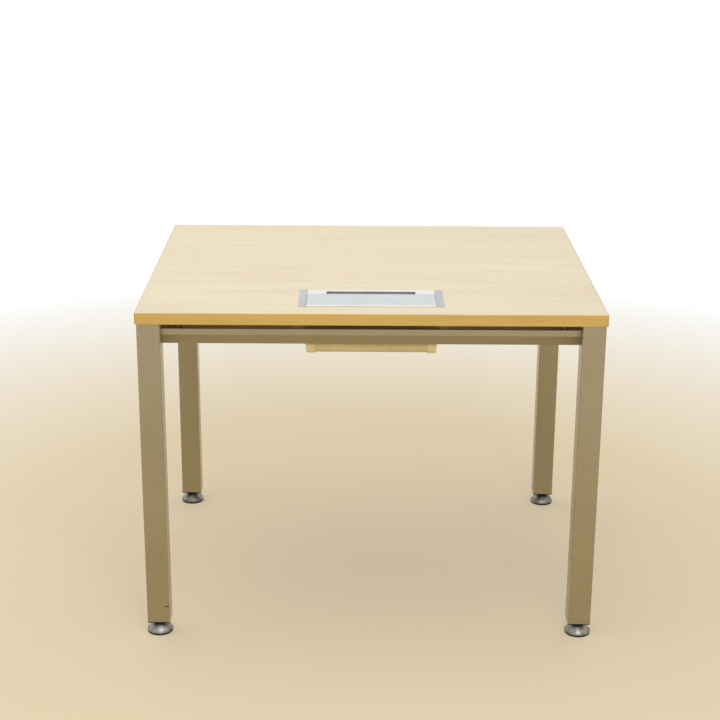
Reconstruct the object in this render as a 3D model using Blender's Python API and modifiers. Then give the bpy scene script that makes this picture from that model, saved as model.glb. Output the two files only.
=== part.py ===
"""Office desk: a wood-grain top on a square-tube frame, with a hinged cable hatch, a cable tray
under the hatch and a screw-adjusted foot on every leg.

Metres, +Z up. The origin is on the floor under the middle of the top. The front (-Y) is the side
with the hatch, and the user sits at the rear (+Y).
"""
import math

import bmesh
import bpy
from mathutils import Matrix, Vector

# Desktop: a board with an edge band glued on each side
TOP_W = 1.000
TOP_D = 0.800
TOP_H = 0.756
TOP_T = 0.025
EDGE_T = 0.001
EDGE_R = 0.0008
OVERHANG = 0.003

# Legs: square tubes with a plug below and a nut block inside the head
LEG = 0.050
LEG_WALL = 0.002
LEG_R = 0.0025
PLUG_FLANGE = 0.002
PLUG_H = 0.022
BLOCK_H = 0.036
BLOCK_DROP = 0.010

# Beams: folded steel channels, open towards the middle of the desk
BEAM_DROP = 0.0163
BEAM_SETBACK = 0.026
BEAM_FACE = 0.0145
BEAM_SLOPE_H = 0.025
BEAM_FLAT = 0.005
BEAM_LIP = 0.008
BEAM_TOP_REACH = 0.003
BEAM_T = 0.002
BEAM_BEND = 0.003
END_PLATE = 0.003

# Bolts that hold a beam's end plate to the leg
BOLT_R = 0.003
BOLT_L = 0.024
BOLT_HEAD_R = 0.005
BOLT_HEAD_H = 0.006
BOLT_SOCKET_R = 0.0026
BOLT_SOCKET_H = 0.003
BOLT_FROM_BACK = 0.010
BOLT_DROP_LONG = 0.008
BOLT_DROP_SIDE = 0.018

# Spacers between the beams and the board, each with a bolt up into the board
SPACER_R = 0.008
SPACER_IN = 0.034
TOP_BOLT_GRIP = 0.015
TOP_BOLT_HEAD_R = 0.0055
TOP_BOLT_HEAD_H = 0.004

# Hatch frame let into the board, just behind the front beam
HATCH_BEHIND_BEAM = 0.004
HATCH_W = 0.314
HATCH_D = 0.128
HATCH_RISE = 0.0016
HATCH_LAP_SIDE = 0.006
HATCH_LAP_FRONT = 0.003
HATCH_LAP_REAR = 0.005
HATCH_R = 0.001
CAP_W = 0.017
CAP_BODY_RISE = 0.003
RAIL_T = 0.0015
RAIL_H = 0.014
STRIP_D = 0.035
STRIP_T = 0.0014
SLOT_L = 0.195
SLOT_D = 0.021
SLOT_R = 0.003
LEDGE_D = 0.005
LEDGE_T = 0.002

# Hatch lid, hinged on two pins along its front edge
LID_T = 0.0022
BARREL_R = 0.0035
BARREL_CLEAR = 0.001
LID_CLEAR = 0.0006
RIB_W = 0.0015
RIB_H = 0.0030
PIN_R = 0.0020
PIN_L = 0.018
PIN_GAP = 0.0002

# Cable tray: a folded trough held by an end cap on each side
TRAY_BEHIND_BEAM = 0.002
TRAY_W = 0.278
TRAY_H = 0.0825
TRAY_CAP_W = 0.0175
TRAY_CAP_WALL = 0.0017
TRAY_CAP_END = 0.0030
TRAY_CAP_DRAFT = math.radians(6.0)
TRAY_CAP_R = 0.002
TRAY_T = 0.0015
TRAY_BEND = 0.012
TRAY_REAR_GAP = 0.025
FLANGE_T = 0.003
FLANGE_END = 0.009
SCREW_R = 0.0020
SCREW_GRIP = 0.012
SCREW_HEAD_R = 0.0042
SCREW_HEAD_H = 0.0025
SCREW_OUT = 0.008
SCREW_END_IN = 0.028

# Feet: a turned bell on a threaded stem, standing on a glide pad
FOOT_H = 0.030
PAD_R = 0.0285
PAD_T = 0.004
PAD_EDGE = 0.0008
PAD_BOSS_R = 0.0065
PAD_BOSS_H = 0.006
RIM_R = 0.029
RIM_H = 0.003
RIM_ROUND = 0.0015
BELL_TOP_R = 0.014
BELL_POWER = 1.7
HEX_FLATS = 0.017
HEX_H = 0.006
STEM_R = 0.005
STEM_TIP = 0.001
STEM_ENGAGE = 0.042

# Clearances: between pieces that touch, round bolts in their holes, and past a face that is cut
GAP = 0.0003
HOLE_GAP = 0.0004
CUT = 0.004
TUCK = 0.0004
WELD = 0.00001

# Facets of rounded corners and of turned pieces
ARC_STEPS = 3
BEND_STEPS = 6
BELL_STEPS = 5
FOOT_SIDES = 32
BOLT_SIDES = 12
SHARP_ANGLE = math.radians(32.0)

# Levels and lines that several pieces share
UNDER = TOP_H - TOP_T
LEG_X = TOP_W / 2 - OVERHANG - LEG / 2
LEG_Y = TOP_D / 2 - OVERHANG - LEG / 2
LEG_BOTTOM = FOOT_H + PLUG_FLANGE + GAP
LEG_IN = LEG / 2 - LEG_WALL - GAP
BEAM_TOP = UNDER - BEAM_DROP
BEAM_H = BEAM_FACE + BEAM_SLOPE_H
BEAM_LINE = LEG / 2 - BEAM_SETBACK
BEAM_D = LEG - BEAM_SETBACK
BEAM_BOLT = BEAM_D - BOLT_FROM_BACK
BOLT_LINE = BEAM_LINE - BEAM_BOLT
SPACER_X = LEG_X - LEG / 2 - SPACER_IN
SPACER_Y = LEG_Y + BEAM_LINE - BEAM_D / 2

BEAM_BACK = -(LEG_Y + BEAM_LINE) + BEAM_D
HATCH_Y0 = BEAM_BACK + HATCH_BEHIND_BEAM
HATCH_Y1 = HATCH_Y0 + HATCH_D
HOLE_X = HATCH_W / 2 - HATCH_LAP_SIDE
HOLE_Y0 = HATCH_Y0 + HATCH_LAP_FRONT
HOLE_Y1 = HATCH_Y1 - HATCH_LAP_REAR
HATCH_BASE = TOP_H + GAP
HATCH_TOP = HATCH_BASE + HATCH_RISE
CAP_IN = HATCH_W / 2 - CAP_W
RAIL_X = CAP_IN - GAP
STRIP_Y = HATCH_Y1 - STRIP_D
WEB_Y0 = HOLE_Y0 + GAP
WEB_Y1 = HOLE_Y1 - GAP
HINGE_Y = WEB_Y0 + RAIL_T + BARREL_CLEAR + BARREL_R
HINGE_Z = HATCH_TOP - BARREL_R
LID_X = CAP_IN - LID_CLEAR
LID_Y1 = STRIP_Y - LID_CLEAR
PIN_REACH = PIN_L / 2

TRAY_BOTTOM = UNDER - TRAY_H
TRAY_TOP = UNDER - GAP
TRAY_CAP_Y0 = BEAM_BACK + BEAM_TOP_REACH + TRAY_BEHIND_BEAM
TRAY_Y0 = TRAY_CAP_Y0 + TRAY_CAP_WALL + GAP
TRAY_Y1 = HATCH_Y1 - TRAY_CAP_WALL - GAP
TRAY_Z0 = TRAY_BOTTOM + TRAY_CAP_WALL + GAP
TRAY_CAP_TOP_X = TRAY_W / 2 + TRAY_H * math.tan(TRAY_CAP_DRAFT)
SCREW_X = max(HOLE_X, TRAY_CAP_TOP_X) + SCREW_OUT
FLANGE_X = SCREW_X + FLANGE_END
SCREW_YS = (TRAY_CAP_Y0 + SCREW_END_IN, HATCH_Y1 - SCREW_END_IN)

CORNERS = {
    "front_left": (-1, -1),
    "front_right": (1, -1),
    "rear_left": (-1, 1),
    "rear_right": (1, 1),
}
SIDES = {"left": -1, "right": 1}

# Turns an outline drawn in (u, v) so that it lies in (y, z) and its thickness runs along x
ALONG_X = Matrix(((0, 0, 1, 0), (1, 0, 0, 0), (0, 1, 0, 0), (0, 0, 0, 1)))
# Turns an outline drawn in (u, v) so that it lies in (x, z) and its thickness runs along y
ALONG_Y = Matrix.Rotation(math.pi / 2, 4, "X")


for old in list(bpy.data.objects):
    bpy.data.objects.remove(old, do_unlink=True)

desk = bpy.data.collections.new("office_desk")
cutters = bpy.data.collections.new("cutters")
bpy.context.scene.collection.children.link(desk)
bpy.context.scene.collection.children.link(cutters)


def finish(name, colour, roughness, metallic=0.0):
    """A plain material: a colour, how rough it is and whether it is metal."""
    material = bpy.data.materials.new(name)
    material.use_nodes = True
    shader = material.node_tree.nodes["Principled BSDF"]
    shader.inputs["Base Color"].default_value = (*colour, 1.0)
    shader.inputs["Roughness"].default_value = roughness
    shader.inputs["Metallic"].default_value = metallic
    return material


def part(name, mesh, material, location=(0.0, 0.0, 0.0), rotation=(0.0, 0.0, 0.0)):
    """A named piece of the desk, smooth on its round faces."""
    if not mesh.materials:
        mesh.materials.append(material)
    mesh.shade_smooth()
    mesh.set_sharp_from_angle(angle=SHARP_ANGLE)
    item = bpy.data.objects.new(name, mesh)
    item.location = location
    item.rotation_euler = rotation
    desk.objects.link(item)
    return item


def apply_tool(target, name, mesh, operation):
    """Cut a shape out of a piece, or join one to it, with a shape that isn't itself a piece."""
    tool = bpy.data.objects.new(name, mesh)
    tool.location = target.location
    tool.rotation_euler = target.rotation_euler
    tool.hide_render = True
    tool.display_type = "WIRE"
    cutters.objects.link(tool)
    modifier = target.modifiers.new(name, "BOOLEAN")
    modifier.operation = operation
    modifier.solver = "EXACT"
    modifier.object = tool


def mesh_of(name, bm):
    """The finished mesh of a bmesh."""
    mesh = bpy.data.meshes.new(name)
    bm.to_mesh(mesh)
    bm.free()
    return mesh


def add_box(bm, low, high):
    """A box between two corners."""
    low = Vector(low)
    high = Vector(high)
    verts = bmesh.ops.create_cube(bm, size=1.0)["verts"]
    bmesh.ops.scale(bm, vec=high - low, verts=verts)
    bmesh.ops.translate(bm, vec=(low + high) / 2, verts=verts)
    return verts


def add_rod(bm, start, end, radius, sides=BOLT_SIDES):
    """A round rod from one point to another."""
    start = Vector(start)
    end = Vector(end)
    turn = (end - start).to_track_quat("Z", "Y").to_matrix().to_4x4()
    bmesh.ops.create_cone(
        bm, cap_ends=True, segments=sides, radius1=radius, radius2=radius,
        depth=(end - start).length, matrix=Matrix.Translation((start + end) / 2) @ turn)


def round_edges(bm, keep, radius):
    """Round the edges whose two ends both pass a test."""
    edges = [edge for edge in bm.edges if all(keep(vert.co) for vert in edge.verts)]
    bmesh.ops.bevel(bm, geom=edges, offset=radius, segments=ARC_STEPS, profile=0.5,
                    affect="EDGES", material=-1)


def rounded(corners, steps=ARC_STEPS):
    """Points round a closed outline, each corner (u, v, radius) turned by an arc."""
    points = []
    for index, (u, v, radius) in enumerate(corners):
        here = Vector((u, v))
        if radius <= 0.0:
            points.append(here)
            continue
        back = (Vector(corners[index - 1][:2]) - here).normalized()
        ahead = (Vector(corners[(index + 1) % len(corners)][:2]) - here).normalized()
        half = back.angle(ahead) / 2
        centre = here + (back + ahead).normalized() * radius / math.sin(half)
        start = here + back * radius / math.tan(half) - centre
        end = here + ahead * radius / math.tan(half) - centre
        sweep = math.atan2(start.x * end.y - start.y * end.x, start.dot(end))
        for step in range(steps + 1):
            points.append(centre + Matrix.Rotation(sweep * step / steps, 2) @ start)
    return points


def inset_path(path, distance):
    """An open path moved to its left by a distance, with its corners kept sharp."""
    moved = []
    for index, point in enumerate(path):
        here = Vector(point)
        back = Vector(path[max(index - 1, 0)])
        ahead = Vector(path[min(index + 1, len(path) - 1)])
        normals = []
        for run in (here - back, ahead - here):
            if run.length > 0.0:
                normals.append(Vector((-run.y, run.x)).normalized())
        middle = sum(normals, Vector((0.0, 0.0))).normalized()
        moved.append(here + middle * distance / middle.dot(normals[0]))
    return moved


def folded_sheet(path, thickness, bend):
    """The outline of a sheet folded along a path, which is its outer face."""
    last = len(path) - 1
    inner = inset_path(path, thickness)
    corners = []
    for index, point in enumerate(path):
        corners.append((*point, 0.0 if index in (0, last) else bend))
    for index in range(last, -1, -1):
        corners.append((*inner[index], 0.0 if index in (0, last) else bend - thickness))
    return corners


def square_outline(half, radius):
    """A square about the origin with rounded corners."""
    return rounded([(-half, -half, radius), (half, -half, radius),
                    (half, half, radius), (-half, half, radius)])


def prism(name, outlines, low, high, turn=Matrix.Identity(4)):
    """A flat outline, or one with a hole in it, with its thickness from low to high."""
    curve = bpy.data.curves.new(name, "CURVE")
    curve.dimensions = "2D"
    curve.fill_mode = "BOTH"
    curve.extrude = (high - low) / 2
    for outline in outlines:
        spline = curve.splines.new("POLY")
        spline.points.add(len(outline) - 1)
        for point, place in zip(spline.points, outline):
            point.co = (place[0], place[1], 0.0, 1.0)
        spline.use_cyclic_u = True
    mesh = settled(name, curve)
    bm = bmesh.new()
    bm.from_mesh(mesh)
    bpy.data.meshes.remove(mesh)
    bmesh.ops.remove_doubles(bm, verts=bm.verts, dist=WELD)
    bm.verts.ensure_lookup_table()
    if len(outlines) == 1:
        for level in (bm.verts[0].co.z, -bm.verts[0].co.z):
            cap = [face for face in bm.faces if all(abs(v.co.z - level) < WELD for v in face.verts)]
            bmesh.ops.dissolve_faces(bm, faces=cap)
    bmesh.ops.recalc_face_normals(bm, faces=bm.faces)
    bmesh.ops.translate(bm, vec=(0.0, 0.0, (low + high) / 2), verts=bm.verts)
    bmesh.ops.transform(bm, matrix=turn, verts=bm.verts)
    return mesh_of(name, bm)


def settled(name, data, prepare=None):
    """The mesh that a curve, or a mesh with modifiers, comes to."""
    holder = bpy.data.objects.new(name, data)
    bpy.context.scene.collection.objects.link(holder)
    if prepare:
        prepare(holder)
    graph = bpy.context.evaluated_depsgraph_get()
    mesh = bpy.data.meshes.new_from_object(holder.evaluated_get(graph))
    bpy.data.objects.remove(holder, do_unlink=True)
    return mesh


def turned(name, profile, sides, closed=False):
    """A piece turned about Z from a profile of (radius, height), run down its outer side."""
    outline = bpy.data.meshes.new(name + "_profile")
    edges = [(index, index + 1) for index in range(len(profile) - 1)]
    if closed:
        edges.append((len(profile) - 1, 0))
    outline.from_pydata([(radius, 0.0, height) for radius, height in profile], edges, [])

    def spin(holder):
        screw = holder.modifiers.new("turn", "SCREW")
        screw.axis = "Z"
        screw.angle = 2 * math.pi
        screw.steps = sides
        screw.render_steps = sides
        screw.use_merge_vertices = True
        screw.merge_threshold = WELD

    return settled(name, outline, spin)


def bolt_mesh(name, radius, length, head_r, head_h, socket_r, socket_h):
    """A socket-head bolt: its head's seat at the origin and its shank along +Z."""
    profile = [(0.0, length), (radius, length), (radius, 0.0), (head_r, 0.0), (head_r, -head_h),
               (socket_r, -head_h), (socket_r, -head_h + socket_h), (0.0, -head_h + socket_h)]
    return turned(name, profile, BOLT_SIDES)


def build_top():
    """A particle board cut for the hatch, with its fixing holes, and four glued edge bands."""
    maple = finish("maple_laminate", (0.85, 0.74, 0.54), 0.42)
    honey = finish("maple_edge_band", (0.60, 0.39, 0.11), 0.45)
    half_w = TOP_W / 2
    half_d = TOP_D / 2
    board_x = half_w - EDGE_T - GAP
    board_y = half_d - EDGE_T - GAP

    bm = bmesh.new()
    add_box(bm, (-board_x, -board_y, UNDER), (board_x, board_y, TOP_H))
    board = part("desktop_board", mesh_of("desktop_board", bm), maple)

    bm = bmesh.new()
    add_box(bm, (-HOLE_X, HOLE_Y0, UNDER - CUT), (HOLE_X, HOLE_Y1, TOP_H + CUT))
    for sx, sy in CORNERS.values():
        foot = Vector((sx * SPACER_X, sy * SPACER_Y, UNDER - CUT))
        add_rod(bm, foot, foot + Vector((0, 0, CUT + TOP_BOLT_GRIP + GAP)), BOLT_R + GAP)
    for sx in SIDES.values():
        for y in SCREW_YS:
            foot = Vector((sx * SCREW_X, y, UNDER - CUT))
            add_rod(bm, foot, foot + Vector((0, 0, CUT + SCREW_GRIP + GAP)), SCREW_R + GAP)
    apply_tool(board, "board_cuts", mesh_of("board_cuts", bm), "DIFFERENCE")

    for side, sx in SIDES.items():
        bm = bmesh.new()
        ends = sorted((sx * (half_w - EDGE_T), sx * half_w))
        add_box(bm, (ends[0], -half_d, UNDER), (ends[1], half_d, TOP_H))
        round_edges(bm, lambda co: abs(co.x) > half_w - EDGE_T / 2, EDGE_R)
        part(f"edge_band_{side}", mesh_of(f"edge_band_{side}", bm), honey)
    for side, sy in (("front", -1), ("rear", 1)):
        bm = bmesh.new()
        ends = sorted((sy * (half_d - EDGE_T), sy * half_d))
        add_box(bm, (-board_x, ends[0], UNDER), (board_x, ends[1], TOP_H))
        edges = [edge for edge in bm.edges if all(abs(v.co.y) > half_d - EDGE_T / 2 for v in edge.verts)
                 and abs(edge.verts[0].co.x - edge.verts[1].co.x) > half_w]
        bmesh.ops.bevel(bm, geom=edges, offset=EDGE_R, segments=ARC_STEPS, profile=0.5,
                        affect="EDGES", material=-1)
        part(f"edge_band_{side}", mesh_of(f"edge_band_{side}", bm), honey)


def bolt_line(corner, along):
    """The axis of a beam bolt at a leg, from the leg's centre line: its offset and height."""
    sx, sy = corner
    if along == "x":
        return Vector((-sx, 0, 0)), Vector((0, sy * BOLT_LINE, BEAM_TOP - BOLT_DROP_LONG))
    return Vector((0, -sy, 0)), Vector((sx * BOLT_LINE, 0, BEAM_TOP - BOLT_DROP_SIDE))


def build_legs():
    """Four square tubes, each with a plastic plug below and a steel nut block in its head."""
    champagne = finish("champagne_paint", (0.36, 0.31, 0.22), 0.45, 0.5)
    black = finish("plug_plastic", (0.03, 0.03, 0.03), 0.5)
    steel = finish("block_steel", (0.45, 0.45, 0.46), 0.4, 1.0)
    tube = [square_outline(LEG / 2, LEG_R), square_outline(LEG / 2 - LEG_WALL, LEG_R - LEG_WALL)]
    block_top = UNDER - GAP - BLOCK_DROP

    for corner, (sx, sy) in CORNERS.items():
        place = (sx * LEG_X, sy * LEG_Y, 0.0)
        leg = part(f"leg_{corner}", prism(f"leg_{corner}", tube, LEG_BOTTOM, UNDER - GAP),
                   champagne, place)
        solid = prism(f"nut_block_{corner}", [square_outline(LEG_IN, LEG_R)],
                      block_top - BLOCK_H, block_top)
        block = part(f"nut_block_{corner}", solid, steel, place)

        wall_holes = bmesh.new()
        block_holes = bmesh.new()
        for along in ("x", "y"):
            inward, line = bolt_line((sx, sy), along)
            wall = line + inward * (LEG / 2 - LEG_WALL / 2)
            add_rod(wall_holes, wall - inward * CUT, wall + inward * CUT, BOLT_R + HOLE_GAP)
            tip = line + inward * (LEG / 2 + GAP + END_PLATE + GAP - BOLT_L - GAP)
            add_rod(block_holes, tip, line + inward * (LEG / 2 + CUT), BOLT_R + GAP)
        apply_tool(leg, f"leg_holes_{corner}", mesh_of("leg_holes", wall_holes), "DIFFERENCE")
        apply_tool(block, f"block_bores_{corner}", mesh_of("block_bores", block_holes), "DIFFERENCE")

        flange = prism(f"leg_plug_{corner}", [square_outline(LEG / 2, LEG_R)],
                       FOOT_H, FOOT_H + PLUG_FLANGE)
        plug = part(f"leg_plug_{corner}", flange, black, place)
        body = prism("plug_body", [square_outline(LEG_IN, LEG_R - LEG_WALL)],
                     FOOT_H + PLUG_FLANGE / 2, FOOT_H + PLUG_H)
        apply_tool(plug, f"plug_body_{corner}", body, "UNION")
        bm = bmesh.new()
        add_rod(bm, (0, 0, FOOT_H - CUT), (0, 0, FOOT_H + PLUG_H + CUT), STEM_R + GAP, FOOT_SIDES // 2)
        apply_tool(plug, f"plug_bore_{corner}", mesh_of("plug_bore", bm), "DIFFERENCE")


def build_beams():
    """Four folded channels with welded end plates, and the bolts that hold them to the legs."""
    champagne = finish("beam_paint", (0.36, 0.31, 0.22), 0.45, 0.5)
    zinc = finish("bolt_zinc", (0.55, 0.54, 0.52), 0.35, 1.0)
    path = [(BEAM_D, 0.0), (0.0, 0.0), (0.0, -BEAM_FACE), (BEAM_D - BEAM_FLAT, -BEAM_H),
            (BEAM_D, -BEAM_H), (BEAM_D, -BEAM_H + BEAM_LIP)]
    loop = path[:5]
    side_channel = rounded(folded_sheet(path, BEAM_T, BEAM_BEND))
    path[0] = (BEAM_D + BEAM_TOP_REACH, 0.0)
    long_channel = rounded(folded_sheet(path, BEAM_T, BEAM_BEND))
    plate = inset_path(loop[-1:] + loop + loop[:1], BEAM_T / 2)[1:-1]
    bolt = bolt_mesh("beam_bolt", BOLT_R, BOLT_L, BOLT_HEAD_R, BOLT_HEAD_H, BOLT_SOCKET_R,
                     BOLT_SOCKET_H)
    span_x = LEG_X - LEG / 2 - GAP
    span_y = LEG_Y - LEG / 2 - GAP
    beams = {
        "front": (span_x, (0, -(LEG_Y + BEAM_LINE), BEAM_TOP), 0.0, BOLT_DROP_LONG),
        "rear": (span_x, (0, LEG_Y + BEAM_LINE, BEAM_TOP), math.pi, BOLT_DROP_LONG),
        "left": (span_y, (-(LEG_X + BEAM_LINE), 0, BEAM_TOP), -math.pi / 2, BOLT_DROP_SIDE),
        "right": (span_y, (LEG_X + BEAM_LINE, 0, BEAM_TOP), math.pi / 2, BOLT_DROP_SIDE),
    }
    for side, (half, place, turn, drop) in beams.items():
        channel = long_channel if drop == BOLT_DROP_LONG else side_channel
        beam = part(f"beam_{side}", prism(f"beam_{side}", [channel], -half, half, ALONG_X),
                    champagne, place, (0, 0, turn))
        holes = bmesh.new()
        for end in (-1, 1):
            ends = sorted((end * (half - END_PLATE), end * (half - TUCK / 2)))
            apply_tool(beam, f"end_plate_{side}_{end + 1}",
                       prism("end_plate", [plate], ends[0], ends[1], ALONG_X), "UNION")
            add_rod(holes, (end * (half + CUT), BEAM_BOLT, -drop),
                    (end * (half - END_PLATE - CUT / 2), BEAM_BOLT, -drop), BOLT_R + HOLE_GAP)
            if drop == BOLT_DROP_LONG:
                top = Vector((end * SPACER_X, BEAM_D / 2, CUT))
                add_rod(holes, top, top - Vector((0, 0, CUT + BEAM_T + CUT / 2)), BOLT_R + HOLE_GAP)
        apply_tool(beam, f"beam_holes_{side}", mesh_of("beam_holes", holes), "DIFFERENCE")

    seat = LEG / 2 + GAP + END_PLATE + GAP
    for corner, (sx, sy) in CORNERS.items():
        for along in ("x", "y"):
            inward, line = bolt_line((sx, sy), along)
            place = Vector((sx * LEG_X, sy * LEG_Y, 0.0)) + line + inward * seat
            turn = (-inward).to_track_quat("Z", "Y").to_euler()
            part(f"beam_bolt_{along}_{corner}", bolt, zinc, place, turn)


def build_top_fixings():
    """Spacers on the long beams that hold the board clear of them, and a bolt through each."""
    steel = finish("spacer_steel", (0.50, 0.49, 0.46), 0.4, 1.0)
    zinc = finish("top_bolt_zinc", (0.55, 0.54, 0.52), 0.35, 1.0)
    bore = BOLT_R + HOLE_GAP
    height = BEAM_DROP - 2 * GAP
    ring = turned("top_spacer", [(SPACER_R, height), (SPACER_R, 0.0), (bore, 0.0), (bore, height)],
                  FOOT_SIDES // 2, closed=True)
    seat = BEAM_TOP - BEAM_T - GAP
    bolt = bolt_mesh("top_bolt", BOLT_R, UNDER + TOP_BOLT_GRIP - seat, TOP_BOLT_HEAD_R,
                     TOP_BOLT_HEAD_H, BOLT_SOCKET_R, BOLT_SOCKET_H)
    for corner, (sx, sy) in CORNERS.items():
        x = sx * SPACER_X
        y = sy * SPACER_Y
        part(f"top_spacer_{corner}", ring, steel, (x, y, BEAM_TOP + GAP))
        part(f"top_bolt_{corner}", bolt, zinc, (x, y, seat))


def build_hatch():
    """A frame let into the board: two moulded end caps, two rails, and a lid on two pins."""
    grey = finish("cap_plastic", (0.60, 0.61, 0.63), 0.5)
    white = finish("rail_aluminium", (0.86, 0.87, 0.87), 0.4, 0.3)
    silver = finish("lid_aluminium", (0.70, 0.72, 0.74), 0.38, 0.5)
    steel = finish("pin_steel", (0.55, 0.55, 0.56), 0.3, 1.0)

    front = [(HATCH_Y0, HATCH_BASE, 0.0), (WEB_Y0, HATCH_BASE, 0.0), (WEB_Y0, TOP_H - RAIL_H, 0.0),
             (WEB_Y0 + RAIL_T, TOP_H - RAIL_H, 0.0), (WEB_Y0 + RAIL_T, HATCH_TOP, 0.0),
             (HATCH_Y0, HATCH_TOP, HATCH_R)]
    part("hatch_front_rail",
         prism("hatch_front_rail", [rounded(front)], -RAIL_X, RAIL_X, ALONG_X), white)

    slot_x = SLOT_L / 2
    slot_y = STRIP_Y + SLOT_D
    strip = [(-RAIL_X, STRIP_Y, 0.0), (-slot_x, STRIP_Y, SLOT_R), (-slot_x, slot_y, SLOT_R),
             (slot_x, slot_y, SLOT_R), (slot_x, STRIP_Y, SLOT_R), (RAIL_X, STRIP_Y, 0.0),
             (RAIL_X, HATCH_Y1, 0.0), (-RAIL_X, HATCH_Y1, 0.0)]
    rail = part("hatch_rear_rail",
                prism("hatch_rear_rail", [rounded(strip)], HATCH_TOP - STRIP_T, HATCH_TOP), white)
    strip_middle = HATCH_TOP - STRIP_T / 2
    strip_base = HATCH_TOP - STRIP_T
    bm = bmesh.new()
    add_box(bm, (-RAIL_X + TUCK, WEB_Y1 - RAIL_T, TOP_H - RAIL_H),
            (RAIL_X - TUCK, WEB_Y1, strip_middle))
    apply_tool(rail, "rail_web", mesh_of("rail_web", bm), "UNION")
    ledge_top = HATCH_TOP - LID_T - GAP
    ledge = [(STRIP_Y - LEDGE_D, ledge_top - LEDGE_T), (slot_y - SLOT_R, ledge_top - LEDGE_T),
             (slot_y - SLOT_R, strip_middle), (STRIP_Y + TUCK, strip_middle),
             (STRIP_Y + TUCK, ledge_top), (STRIP_Y - LEDGE_D, ledge_top)]
    for side, sx in SIDES.items():
        ends = sorted((sx * (slot_x + SLOT_R), sx * (RAIL_X - TUCK)))
        apply_tool(rail, f"rail_ledge_{side}", prism("rail_ledge", [ledge], ends[0], ends[1], ALONG_X),
                   "UNION")

    for side, sx in SIDES.items():
        bm = bmesh.new()
        ends = sorted((sx * CAP_IN, sx * HATCH_W / 2))
        add_box(bm, (ends[0], HATCH_Y0, HATCH_BASE), (ends[1], HATCH_Y1, HATCH_TOP))
        round_edges(bm, lambda co: co.z > strip_base and abs(co.x) > CAP_IN - TUCK, HATCH_R)
        cap = part(f"hatch_cap_{side}", mesh_of(f"hatch_cap_{side}", bm), grey)
        bm = bmesh.new()
        ends = sorted((sx * (CAP_IN + TUCK), sx * (HOLE_X - GAP)))
        add_box(bm, (ends[0], WEB_Y0, UNDER + CAP_BODY_RISE), (ends[1], WEB_Y1, strip_middle))
        apply_tool(cap, f"cap_body_{side}", mesh_of("cap_body", bm), "UNION")
        bm = bmesh.new()
        add_rod(bm, (sx * (CAP_IN - CUT), HINGE_Y, HINGE_Z),
                (sx * (CAP_IN + PIN_REACH + GAP), HINGE_Y, HINGE_Z), PIN_R + PIN_GAP)
        apply_tool(cap, f"cap_bore_{side}", mesh_of("cap_bore", bm), "DIFFERENCE")

        pin = bmesh.new()
        add_rod(pin, (-PIN_REACH, 0, 0), (PIN_REACH, 0, 0), PIN_R)
        part(f"hinge_pin_{side}", mesh_of(f"hinge_pin_{side}", pin), steel,
             (sx * CAP_IN, HINGE_Y, HINGE_Z))

    build_lid(silver)


def build_lid(silver):
    """An extruded plate with a hinge barrel along its front edge and two ribs below."""
    depth = LID_Y1 - HINGE_Y
    plate_base = BARREL_R - LID_T
    meet = math.sqrt(BARREL_R ** 2 - plate_base ** 2)
    sweep_end = 2 * math.pi + math.atan2(plate_base, meet)
    outline = [Vector((depth, BARREL_R))]
    steps = 4 * ARC_STEPS
    for step in range(steps + 1):
        angle = math.pi / 2 + (sweep_end - math.pi / 2) * step / steps
        outline.append(BARREL_R * Vector((math.cos(angle), math.sin(angle))))
    for share in (1 / 3, 2 / 3):
        middle = depth * share
        outline.append(Vector((middle - RIB_W / 2, plate_base)))
        outline.append(Vector((middle - RIB_W / 2, plate_base - RIB_H)))
        outline.append(Vector((middle + RIB_W / 2, plate_base - RIB_H)))
        outline.append(Vector((middle + RIB_W / 2, plate_base)))
    outline.append(Vector((depth, plate_base)))
    lid = part("hatch_lid", prism("hatch_lid", [outline], -LID_X, LID_X, ALONG_X), silver,
               (0.0, HINGE_Y, HINGE_Z))
    bm = bmesh.new()
    for sx in SIDES.values():
        add_rod(bm, (sx * (CAP_IN - PIN_REACH - GAP), 0, 0), (sx * (LID_X + CUT), 0, 0),
                PIN_R + PIN_GAP)
    apply_tool(lid, "lid_bores", mesh_of("lid_bores", bm), "DIFFERENCE")


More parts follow.
